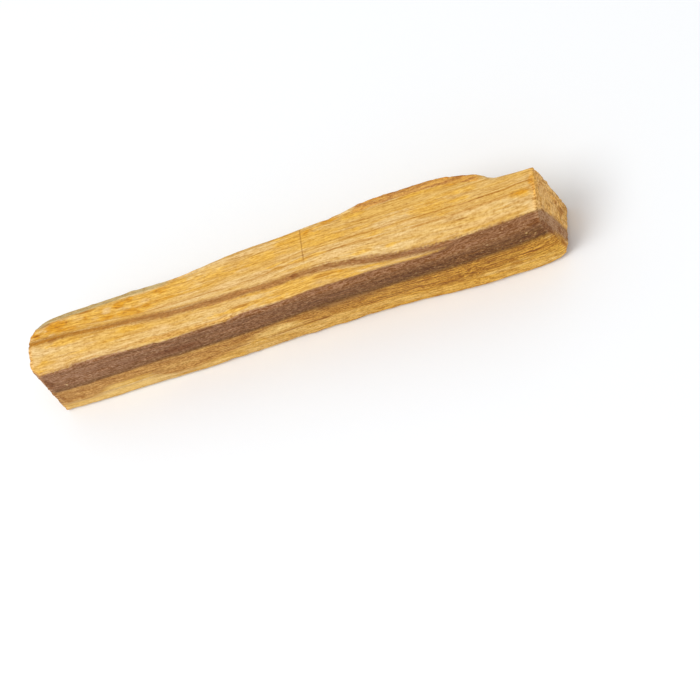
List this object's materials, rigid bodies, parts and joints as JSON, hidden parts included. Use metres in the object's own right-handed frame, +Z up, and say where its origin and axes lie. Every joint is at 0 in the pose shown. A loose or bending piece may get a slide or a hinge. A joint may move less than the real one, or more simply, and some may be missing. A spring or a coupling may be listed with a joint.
{
  "type": "palo santo stick",
  "caption": "Split and sawn length of pale aromatic wood with a dark heartwood stripe, lying on its flat underside, as burnt for its scent.",
  "frame": {"origin": "middle of the bounding box's base, on the flat underside that the stick rests on", "axes": "+X along the grain, +Z up off the surface, -Y towards the long front face that shows the heartwood stripe"},
  "size_m": [0.1002, 0.0154, 0.0158],
  "materials": {
    "palo_santo_wood": "raw split and sawn wood, matt, honey-coloured with a purple-brown heartwood stripe"
  },
  "bodies": {
    "root": {"stick": "palo_santo_wood"}
  },
  "joints": []
}
